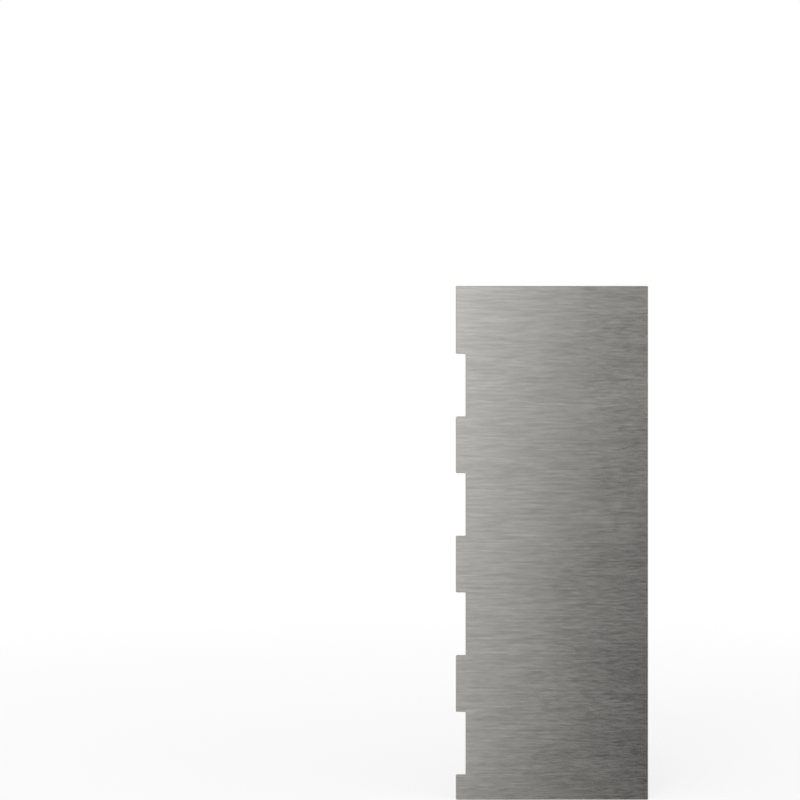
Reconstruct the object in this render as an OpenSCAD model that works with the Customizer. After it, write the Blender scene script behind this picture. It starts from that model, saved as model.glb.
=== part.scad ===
// Icing smoother with a stripe edge: one plate of stainless sheet that is cut with shallow
// notches down one long edge and left straight down the other.
//
// The plate stands as it is held in use. Its base edge is on z = 0, its faces look towards
// -Y and +Y, the tooth tips point to -X and the straight edge to +X. All sizes are in mm.

/* [Sheet] */
// Thickness of the stainless sheet
sheet_t = 1.2; // [0.8:0.1:2.5]
// Width of the plate, from the tooth tips to the straight edge
plate_w = 95; // [60:1:150]

/* [Stripe edge] */
// Height of the bottom land, from the base edge to the first notch
base_land_h = 12.5; // [6:0.5:25]
// Number of notches down the edge
notch_count = 4; // [1:1:6]
// Height of a notch, which leaves a raised stripe behind it
notch_h = 31; // [8:0.5:50]
// Depth of a notch, from the tooth tips to its root
notch_d = 4.8; // [3:0.1:15]
// Height of a tooth between two notches, which cuts a sunk stripe
tooth_h = 28; // [6:0.5:50]
// Height of the top land, above the last notch
top_land_h = 33.5; // [8:0.5:80]

/* [Corners and edges] */
// Radius of the outer corners, seen from the front
corner_r = 0.6; // [0.4:0.1:1.5]
// Radius that the cutting beam leaves in the corners of a notch
root_r = 0.4; // [0.2:0.1:1]
// Width of the 45 degree break along both faces
edge_break = 0.25; // [0.1:0.05:0.35]

/* [Hidden] */
$fn = 48;

face_y = sheet_t / 2;
side_y = face_y - edge_break;
pitch = notch_h + tooth_h;
plate_h = base_land_h + notch_count * pitch - tooth_h + top_land_h;
tip_x = -plate_w / 2;
root_x = tip_x + notch_d;
// Each land runs on into the plate, past the rounded corners that it covers
land_w = notch_d + 4 * corner_r;

// The lands are counted upwards: 0 is the bottom land and notch_count the top one
function land_z(i) = i == 0 ? 0 : base_land_h + i * pitch - tooth_h;
function land_h(i) = i == 0 ? base_land_h : i == notch_count ? top_land_h : tooth_h;

// The sheet in section, from 0 to length, with its four corners broken
module sheet_section(length) {
    polygon([
        [edge_break, -face_y], [length - edge_break, -face_y],
        [length, -side_y], [length, side_y],
        [length - edge_break, face_y], [edge_break, face_y],
        [0, side_y], [0, -side_y]
    ]);
}

// A round piece of the sheet, which rounds one corner and carries the break round it
module corner_disc() {
    rotate([90, 0, 0])
        rotate_extrude()
            polygon([
                [0, -face_y], [corner_r - edge_break, -face_y],
                [corner_r, -side_y], [corner_r, side_y],
                [corner_r - edge_break, face_y], [0, face_y]
            ]);
}

// An upright rectangle of the sheet with round corners and broken edges: two crossing
// bars and four discs. Its lower left corner is at the origin.
module eased_rectangle(w, h) {
    translate([w - corner_r, 0, 0])
        rotate([0, -90, 0])
            linear_extrude(w - 2 * corner_r) sheet_section(h);
    translate([0, 0, corner_r])
        linear_extrude(h - 2 * corner_r) sheet_section(w);
    for (x = [corner_r, w - corner_r], z = [corner_r, h - corner_r])
        translate([x, 0, z]) corner_disc();
}

// What the beam cuts out of a notch corner: a bore of root_r that flares with the break
module root_bore() {
    flare_r = root_r + 2 * edge_break;
    flare_y = face_y + edge_break;
    rotate([90, 0, 0])
        rotate_extrude()
            polygon([
                [0, -flare_y], [flare_r, -flare_y],
                [root_r, -side_y], [root_r, side_y],
                [flare_r, flare_y], [0, flare_y]
            ]);
}

// The round between the root of a notch, at x = 0, and the land below it, at z = 0
module root_fillet() {
    seat = 2 * edge_break;
    difference() {
        translate([-root_r, -face_y, -seat])
            cube([root_r + seat, sheet_t, root_r + seat]);
        translate([-root_r, 0, root_r]) root_bore();
    }
}

module smoother_plate() {
    color("silver") {
        translate([root_x, 0, 0]) eased_rectangle(plate_w - notch_d, plate_h);
        for (i = [0:notch_count])
            translate([tip_x, 0, land_z(i)]) eased_rectangle(land_w, land_h(i));
        for (i = [0:notch_count - 1]) {
            translate([root_x, 0, land_z(i) + land_h(i)]) root_fillet();
            translate([root_x, 0, land_z(i + 1)]) mirror([0, 0, 1]) root_fillet();
        }
    }
}

smoother_plate();
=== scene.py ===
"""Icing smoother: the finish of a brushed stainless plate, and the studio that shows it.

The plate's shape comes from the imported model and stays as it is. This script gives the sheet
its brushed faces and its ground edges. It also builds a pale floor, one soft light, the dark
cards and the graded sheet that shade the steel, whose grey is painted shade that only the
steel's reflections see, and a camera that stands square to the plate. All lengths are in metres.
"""

import math

import bpy
from bpy.props import FloatProperty, FloatVectorProperty, PointerProperty
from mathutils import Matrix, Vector


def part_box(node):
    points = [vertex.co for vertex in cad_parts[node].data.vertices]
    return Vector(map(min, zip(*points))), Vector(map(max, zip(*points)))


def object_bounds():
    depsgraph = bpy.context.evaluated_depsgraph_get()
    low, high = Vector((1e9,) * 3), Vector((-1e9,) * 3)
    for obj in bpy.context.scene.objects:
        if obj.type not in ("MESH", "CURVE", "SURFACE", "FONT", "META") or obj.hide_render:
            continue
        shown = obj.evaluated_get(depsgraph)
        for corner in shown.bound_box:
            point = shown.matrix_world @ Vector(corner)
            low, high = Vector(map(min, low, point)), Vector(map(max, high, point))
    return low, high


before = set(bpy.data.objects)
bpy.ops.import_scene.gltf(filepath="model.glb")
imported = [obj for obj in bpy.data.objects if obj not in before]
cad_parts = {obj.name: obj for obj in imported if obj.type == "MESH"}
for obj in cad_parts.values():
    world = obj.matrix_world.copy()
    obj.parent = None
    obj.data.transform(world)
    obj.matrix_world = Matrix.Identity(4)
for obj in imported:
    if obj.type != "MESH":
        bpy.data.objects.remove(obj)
cad_low, cad_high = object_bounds()

bl_info = {
    "name": "Icing smoother",
    "version": (1, 0, 0),
    "blender": (4, 5, 0),
    "location": "View3D > Sidebar > Icing smoother",
    "description": "Finishes a notched stainless icing smoother and lights it in a plain studio",
    "category": "Object",
}

MM = 0.001
PLATE = "smoother_plate"

# Where the plate stands in the photograph, in pixels of its square frame
FRAME_PX = 800
PLATE_TOP_PX = 285.9
PLATE_BASE_PX = 799.9
PLATE_MIDDLE_PX = 552.0

# Length and height of the marks on the faces, besides the brush lines that the panel sets
STROKE_LENGTH, STROKE_PITCH = 5 * MM, 0.8 * MM
SCRATCH_LENGTH, SCRATCH_PITCH = 28 * MM, 1 * MM
CLOUD_LENGTH, CLOUD_PITCH = 42 * MM, 16 * MM
# How far a mark reaches into the sheet, so that the two faces and the cut edges differ
MARK_DEPTH = 2 * MM
# The deburring marks on the cut edges: narrow along the edge and long through the sheet
CUT_MARK_WIDTH, CUT_MARK_LENGTH = 0.6 * MM, 6 * MM
# Height of the brush lines in the bump, and the share of it that the short strokes have
GRAIN_RELIEF = 0.014 * MM
STROKE_SHARE = 0.5
# The darkest and lightest that each layer of marks makes the steel, as a share of its colour
LINE_TONE = (0.87, 1.11)
STROKE_TONE = (0.94, 1.06)
CLOUD_TONE = (0.975, 1.025)
SCRATCH_TONE = (1, 1.1)
CUT_TONE = (0.9, 1.08)
# How far strokes and clouds take the roughness up and down
STROKE_ROUGHNESS, CLOUD_ROUGHNESS = 0.05, 0.02
# How strongly the finer octaves of each noise show
FINE_SHARE = 0.55

# Nearly all of a noise pattern's values lie between these two
NOISE_LOW, NOISE_HIGH = 0.3, 0.7
# Only the rare peaks of the scratch pattern pass the first of these
SCRATCH_FROM, SCRATCH_FULL = 0.66, 0.74
# A surface that looks this straight along Y is a face, and one that looks less so is an edge
EDGE_BELOW, FACE_ABOVE = 0.8, 0.95
# A quarter turn of the tangent, which draws highlights out up and down
QUARTER_TURN = 0.25

# Strength of the world for the rays that light the floor, where the background itself is 1
AMBIENT = 0.8
WHITE = (1, 1, 1, 1)
# The share of plain white in the floor that is seen, at a near and a far distance from the plate
FADE_NEAR, FADE_FAR = 0.1, 0.9
WHITE_NEAR, WHITE_FAR = 0.7, 1
# The front sheet's grey, from pale at its left to near black at its right: painted shade,
# which only the steel's reflections see
PALE_X, DARK_X = -0.11, 0.05
PALE_GREY, DARK_GREY = 0.84, 0.02
# How far the sheet of painted shade lies above the floor and in front of the plate, and its other
# three sides
SHADE_SHEET_LIFT, SHADE_SHEET_GAP = 0.2 * MM, 0.1 * MM
SHADE_SHEET_LEFT, SHADE_SHEET_RIGHT, SHADE_SHEET_FRONT = -0.3, 1.0, -0.8

# The key light's place, and the side of its square
KEY_PLACE = (-0.4, -1.5, 0.95)
KEY_SIDE = 0.8
# The dark cards that only reflections see, whose colour is painted shade in the steel's
# reflections: name, azimuth in degrees, and distance, width and height
CARDS = (
    ("front_card", 34, 1.2, 1.4, 0.66),
    ("back_card", 158, 1.2, 1.0, 0.8),
)


def linear(hex_colour):
    """An sRGB colour such as "#c0bdb8" as the three linear values that shaders take."""
    parts = [int(hex_colour[i : i + 2], 16) / 255 for i in (1, 3, 5)]
    return tuple(p / 12.92 if p <= 0.04045 else ((p + 0.055) / 1.055) ** 2.4 for p in parts)


def add_node(tree, kind, inputs=None, **settings):
    """Adds a node. inputs holds socket values, or the outputs that feed the sockets."""
    node = tree.nodes.new(kind)
    for name, value in settings.items():
        setattr(node, name, value)
    for name, value in (inputs or {}).items():
        if isinstance(value, bpy.types.NodeSocket):
            tree.links.new(value, node.inputs[name])
        else:
            node.inputs[name].default_value = value
    return node


class PlateFinish(bpy.types.PropertyGroup):
    """How the sheet was brushed, cut and deburred."""

    steel: FloatVectorProperty(
        name="Steel", description="Colour of the brushed faces", size=3,
        subtype="COLOR", min=0, max=1, default=linear("#bcbab6"),
    )
    cut_edge: FloatVectorProperty(
        name="Cut edge", description="Colour of the cut and deburred edges", size=3,
        subtype="COLOR", min=0, max=1, default=linear("#a3a09b"),
    )
    grain_pitch: FloatProperty(
        name="Grain pitch", description="Height of one brush line", unit="LENGTH",
        min=0.05 * MM, default=1.05 * MM,
    )
    grain_length: FloatProperty(
        name="Grain length", description="Length of one brush line", unit="LENGTH",
        min=1 * MM, default=15 * MM,
    )
    roughness: FloatProperty(
        name="Roughness", description="Mean roughness of the brushed faces",
        subtype="FACTOR", min=0, max=1, default=0.36,
    )
    anisotropy: FloatProperty(
        name="Anisotropy", description="How much wider light spreads across the grain",
        subtype="FACTOR", min=0, max=1, default=0.85,
    )


class Studio(bpy.types.PropertyGroup):
    """The floor, the lights and the camera."""

    floor: FloatVectorProperty(
        name="Floor", description="Colour of the floor", size=3,
        subtype="COLOR", min=0, max=1, default=linear("#f2f2f2"),
    )
    # The cards' colour is painted shade, which only the steel's reflections see
    card: FloatVectorProperty(
        name="Card", description="Colour of the dark cards that the steel reflects", size=3,
        subtype="COLOR", min=0, max=1, default=linear("#262626"),
    )
    floor_side: FloatProperty(
        name="Floor side", description="Length of the floor's sides", unit="LENGTH",
        min=1, default=12,
    )
    lens: FloatProperty(
        name="Lens", description="Focal length of the camera", subtype="DISTANCE_CAMERA",
        min=20, default=100,
    )
    key_power: FloatProperty(
        name="Key light", description="Power of the soft light at the upper left",
        unit="POWER", min=0, default=5,
    )


def level_noise(tree, place, length, pitch, detail):
    """Noise drawn out along the plate's width: length and pitch are the size of one mark."""
    stretch = (1 / length, 1 / MARK_DEPTH, 1 / pitch)
    marks = add_node(tree, "ShaderNodeVectorMath", {0: place, 1: stretch}, operation="MULTIPLY")
    noise = add_node(
        tree, "ShaderNodeTexNoise",
        {"Vector": marks.outputs[0], "Scale": 1, "Detail": detail, "Roughness": FINE_SHARE},
    )
    return noise.outputs["Fac"]


def spread(tree, value, to_low, to_high, low=NOISE_LOW, high=NOISE_HIGH):
    """Takes the range low..high of a pattern to to_low..to_high, and stops there."""
    node = add_node(
        tree, "ShaderNodeMapRange",
        {"Value": value, "From Min": low, "From Max": high, "To Min": to_low, "To Max": to_high},
    )
    return node.outputs["Result"]


def combine(tree, operation, first, second):
    """One sum, product or maximum of two values."""
    return add_node(tree, "ShaderNodeMath", {0: first, 1: second}, operation=operation).outputs[0]


def new_material(name):
    """An empty material and its node tree."""
    material = bpy.data.materials.new(name)
    material.use_nodes = True
    material.node_tree.nodes.clear()
    return material, material.node_tree


def brushed_stainless(finish):
    """Stainless sheet, belt brushed across the plate, laser cut and deburred by tumbling.

    The belt leaves level scratches, so a highlight is drawn out up and down, and the grey
    breaks into fine level streaks. The cut edges are duller, with marks through the sheet.
    Real brush lines are 0.05 to 0.1 mm high, too fine to show, so they are drawn coarser.
    """
    material, tree = new_material("brushed_stainless")
    coords = add_node(tree, "ShaderNodeTexCoord")
    place = coords.outputs["Object"]

    lines = level_noise(tree, place, finish.grain_length, finish.grain_pitch, detail=3)
    strokes = level_noise(tree, place, STROKE_LENGTH, STROKE_PITCH, detail=2)
    scratches = level_noise(tree, place, SCRATCH_LENGTH, SCRATCH_PITCH, detail=1)
    clouds = level_noise(tree, place, CLOUD_LENGTH, CLOUD_PITCH, detail=2)

    # Faces look straight along Y, and the cut edges and their breaks do not
    facing = add_node(tree, "ShaderNodeSeparateXYZ", {0: coords.outputs["Normal"]})
    across = add_node(tree, "ShaderNodeMath", {0: facing.outputs["Y"]}, operation="ABSOLUTE")
    face = spread(tree, across.outputs[0], 0, 1, EDGE_BELOW, FACE_ABOVE)
    cut_stretch = (1 / CUT_MARK_WIDTH, 1 / CUT_MARK_LENGTH, 1 / CUT_MARK_WIDTH)
    through = add_node(
        tree, "ShaderNodeVectorMath", {0: place, 1: cut_stretch}, operation="MULTIPLY"
    )
    cut_marks = add_node(
        tree, "ShaderNodeTexNoise", {"Vector": through.outputs[0], "Scale": 1, "Detail": 2}
    )

    tone = spread(tree, lines, *LINE_TONE)
    tone = combine(tree, "MULTIPLY", tone, spread(tree, strokes, *STROKE_TONE))
    tone = combine(tree, "MULTIPLY", tone, spread(tree, clouds, *CLOUD_TONE))
    bright = spread(tree, scratches, *SCRATCH_TONE, SCRATCH_FROM, SCRATCH_FULL)
    tone = combine(tree, "MULTIPLY", tone, bright)
    brushed = add_node(
        tree, "ShaderNodeVectorMath", {0: finish.steel, "Scale": tone}, operation="SCALE"
    )
    marked = spread(tree, cut_marks.outputs["Fac"], *CUT_TONE)
    ground = add_node(
        tree, "ShaderNodeVectorMath", {0: finish.cut_edge, "Scale": marked}, operation="SCALE"
    )
    colour = add_node(
        tree, "ShaderNodeMix",
        {"Factor": face, "A": ground.outputs[0], "B": brushed.outputs[0]}, data_type="VECTOR",
    )
    low_rough = finish.roughness - CLOUD_ROUGHNESS
    high_rough = finish.roughness + CLOUD_ROUGHNESS
    rough = combine(
        tree, "ADD", spread(tree, strokes, -STROKE_ROUGHNESS, STROKE_ROUGHNESS),
        spread(tree, clouds, low_rough, high_rough),
    )
    height = combine(tree, "ADD", lines, combine(tree, "MULTIPLY", strokes, STROKE_SHARE))
    bump = add_node(
        tree, "ShaderNodeBump", {"Height": height, "Distance": GRAIN_RELIEF, "Strength": 1}
    )
    tangent = add_node(tree, "ShaderNodeTangent", direction_type="RADIAL", axis="Z")
    steel = add_node(
        tree, "ShaderNodeBsdfPrincipled",
        {
            "Base Color": colour.outputs["Result"],
            "Metallic": 1,
            "Roughness": rough,
            "Normal": bump.outputs[0],
            "Anisotropic": finish.anisotropy,
            "Anisotropic Rotation": QUARTER_TURN,
            "Tangent": tangent.outputs[0],
        },
    )
    add_node(tree, "ShaderNodeOutputMaterial", {"Surface": steel.outputs[0]})
    return material


def seen_directly(tree):
    """1 for camera, mirror and glass rays, which show the background, and 0 for the rest."""
    path = add_node(tree, "ShaderNodeLightPath")
    seen = combine(tree, "MAXIMUM", path.outputs["Is Camera Ray"], path.outputs["Is Glossy Ray"])
    return combine(tree, "MAXIMUM", seen, path.outputs["Is Transmission Ray"])


def studio_floor(studio):
    """Matt white paper: it shows white, keeps a soft share of the shadow, and has no far edge."""
    material, tree = new_material("matt_white_paper")
    paper = add_node(
        tree, "ShaderNodeBsdfDiffuse", {"Color": (*studio.floor, 1), "Roughness": 1}
    )
    white = add_node(tree, "ShaderNodeEmission", {"Color": WHITE, "Strength": 1})
    coords = add_node(tree, "ShaderNodeTexCoord")
    reach = add_node(
        tree, "ShaderNodeVectorMath", {0: coords.outputs["Object"]}, operation="LENGTH"
    )
    fade = spread(tree, reach.outputs["Value"], WHITE_NEAR, WHITE_FAR, FADE_NEAR, FADE_FAR)
    share = combine(tree, "MULTIPLY", seen_directly(tree), fade)
    mix = add_node(
        tree, "ShaderNodeMixShader",
        {0: share, 1: paper.outputs[0], 2: white.outputs[0]},
    )
    add_node(tree, "ShaderNodeOutputMaterial", {"Surface": mix.outputs[0]})
    return material


def dark_card(studio):
    """Matt black colour for the cards that stand beside bright metal: painted shade in its
    reflection.
    """
    material, tree = new_material("painted_reflection_shade")
    reflected_shade = add_node(
        tree, "ShaderNodeBsdfDiffuse", {"Color": (*studio.card, 1), "Roughness": 1}
    )
    add_node(tree, "ShaderNodeOutputMaterial", {"Surface": reflected_shade.outputs[0]})
    return material


def painted_shade_gradient():
    """Painted shade: a sheet graded from pale at the left to near black at the right, to shade the
    steel's reflection.
    """
    material, tree = new_material("painted_shade_gradient")
    where = add_node(tree, "ShaderNodeNewGeometry")
    parts = add_node(tree, "ShaderNodeSeparateXYZ", {0: where.outputs["Position"]})
    # Painted shade, falling from pale to near black towards +X
    shade = spread(tree, parts.outputs["X"], PALE_GREY, DARK_GREY, PALE_X, DARK_X)
    colour = add_node(tree, "ShaderNodeCombineColor", {0: shade, 1: shade, 2: shade})
    paper = add_node(
        tree, "ShaderNodeBsdfDiffuse", {"Color": colour.outputs[0], "Roughness": 1}
    )
    add_node(tree, "ShaderNodeOutputMaterial", {"Surface": paper.outputs[0]})
    return material


def make_world():
    """Even white light, which camera, mirror and glass rays see at full white."""
    world = bpy.data.worlds.new("studio_white")
    world.use_nodes = True
    tree = world.node_tree
    tree.nodes.clear()
    ambient = add_node(tree, "ShaderNodeBackground", {"Color": WHITE, "Strength": AMBIENT})
    white = add_node(tree, "ShaderNodeBackground", {"Color": WHITE, "Strength": 1})
    mix = add_node(
        tree, "ShaderNodeMixShader",
        {0: seen_directly(tree), 1: ambient.outputs[0], 2: white.outputs[0]},
    )
    add_node(tree, "ShaderNodeOutputWorld", {"Surface": mix.outputs[0]})
    bpy.context.scene.world = world


def add_plane(name, side_x, side_y, material):
    """A flat rectangle, centred on the origin and facing up."""
    mesh = bpy.data.meshes.new(name)
    x, y = side_x / 2, side_y / 2
    mesh.from_pydata([(-x, -y, 0), (x, -y, 0), (x, y, 0), (-x, y, 0)], [], [(0, 1, 2, 3)])
    mesh.materials.append(material)
    plane = bpy.data.objects.new(name, mesh)
    bpy.context.scene.collection.objects.link(plane)
    return plane


def reflect_only(card):
    """Leaves a card to mirror rays alone."""
    # The cards and the graded sheet are painted shade, seen only in the steel's reflections
    card.visible_camera = False
    card.visible_diffuse = False
    card.visible_transmission = False
    card.visible_volume_scatter = False
    card.visible_shadow = False


def add_card(name, azimuth, distance, width, height, material):
    """An upright dark card on the floor, whose colour is painted shade in the steel's reflections.
    Azimuth is in degrees from the front, towards +X.
    """
    card = add_plane(name, width, height, material)
    turn = math.radians(azimuth)
    card.location = (math.sin(turn) * distance, -math.cos(turn) * distance, height / 2)
    card.rotation_euler = (math.radians(90), 0, turn)
    reflect_only(card)


def add_painted_shade_sheet():
    """The graded sheet of painted shade, which lies on the floor from the plate's front face
    outwards.
    """
    near_y = cad_low.y - SHADE_SHEET_GAP
    paper = add_plane("front_shade_sheet", SHADE_SHEET_RIGHT - SHADE_SHEET_LEFT, near_y - SHADE_SHEET_FRONT, painted_shade_gradient())
    paper.location = ((SHADE_SHEET_LEFT + SHADE_SHEET_RIGHT) / 2, (near_y + SHADE_SHEET_FRONT) / 2, SHADE_SHEET_LIFT)
    reflect_only(paper)


def add_key_light(studio):
    """A square softbox at the upper left, aimed at the middle of the plate."""
    light = bpy.data.lights.new("key", "AREA")
    light.shape = "RECTANGLE"
    light.size = KEY_SIDE
    light.size_y = KEY_SIDE
    light.energy = studio.key_power
    lamp = bpy.data.objects.new("key", light)
    lamp.location = KEY_PLACE
    direction = Vector((0, 0, cad_high.z / 2)) - lamp.location
    lamp.rotation_euler = direction.to_track_quat("-Z", "Y").to_euler()
    bpy.context.scene.collection.objects.link(lamp)


def place_camera(studio):
    """Stands the camera square to the plate, where it fills the photograph's frame alike."""
    low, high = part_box(PLATE)
    metres_per_px = (high.z - low.z) / (PLATE_BASE_PX - PLATE_TOP_PX)
    data = bpy.data.cameras.new("photo_camera")
    data.lens = studio.lens
    distance = FRAME_PX * metres_per_px * data.lens / data.sensor_width
    middle_px = FRAME_PX / 2
    camera = bpy.data.objects.new("photo_camera", data)
    camera.location = (
        (low.x + high.x) / 2 + (middle_px - PLATE_MIDDLE_PX) * metres_per_px,
        low.y - distance,
        low.z + (PLATE_BASE_PX - middle_px) * metres_per_px,
    )
    camera.rotation_euler = (math.radians(90), 0, 0)
    bpy.context.scene.collection.objects.link(camera)
    bpy.context.scene.camera = camera


class SMOOTHER_OT_finish_plate(bpy.types.Operator):
    """Gives the plate its brushed faces and its deburred edges"""

    bl_idname = "smoother.finish_plate"
    bl_label = "Finish the plate"

    def execute(self, context):
        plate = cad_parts[PLATE]
        plate.data.materials.clear()
        plate.data.materials.append(brushed_stainless(context.scene.plate_finish))
        return {"FINISHED"}


class SMOOTHER_OT_build_stage(bpy.types.Operator):
    """Lays the floor and the sheet of painted shade, hangs the light, stands the shade cards and
    places the camera
    """

    bl_idname = "smoother.build_stage"
    bl_label = "Build the stage"

    def execute(self, context):
        studio = context.scene.studio
        context.scene.view_settings.view_transform = "Standard"
        make_world()
        floor = add_plane("floor", studio.floor_side, studio.floor_side, studio_floor(studio))
        add_key_light(studio)
        # The cards' near black and the sheet's grey are painted shade that only the steel's
        # reflections see
        reflected_shade = dark_card(studio)
        for name, azimuth, distance, width, height in CARDS:
            add_card(name, azimuth, distance, width, height, reflected_shade)
        add_painted_shade_sheet()
        place_camera(studio)
        return {"FINISHED"}


class SMOOTHER_PT_panel(bpy.types.Panel):
    """Lists the smoother's operators"""

    bl_idname = "SMOOTHER_PT_panel"
    bl_label = "Icing smoother"
    bl_space_type = "VIEW_3D"
    bl_region_type = "UI"
    bl_category = "Icing smoother"

    def draw(self, context):
        layout = self.layout
        for group in (context.scene.plate_finish, context.scene.studio):
            box = layout.box()
            for name in group.__annotations__:
                box.prop(group, name)
        layout.operator(SMOOTHER_OT_finish_plate.bl_idname)
        layout.operator(SMOOTHER_OT_build_stage.bl_idname)


CLASSES = (
    PlateFinish,
    Studio,
    SMOOTHER_OT_finish_plate,
    SMOOTHER_OT_build_stage,
    SMOOTHER_PT_panel,
)


def register():
    for cls in CLASSES:
        bpy.utils.register_class(cls)
    bpy.types.Scene.plate_finish = PointerProperty(type=PlateFinish)
    bpy.types.Scene.studio = PointerProperty(type=Studio)


def unregister():
    del bpy.types.Scene.studio
    del bpy.types.Scene.plate_finish
    for cls in reversed(CLASSES):
        bpy.utils.unregister_class(cls)


def main():
    register()
    bpy.ops.smoother.finish_plate()
    bpy.ops.smoother.build_stage()


if __name__ == "__main__":
    main()
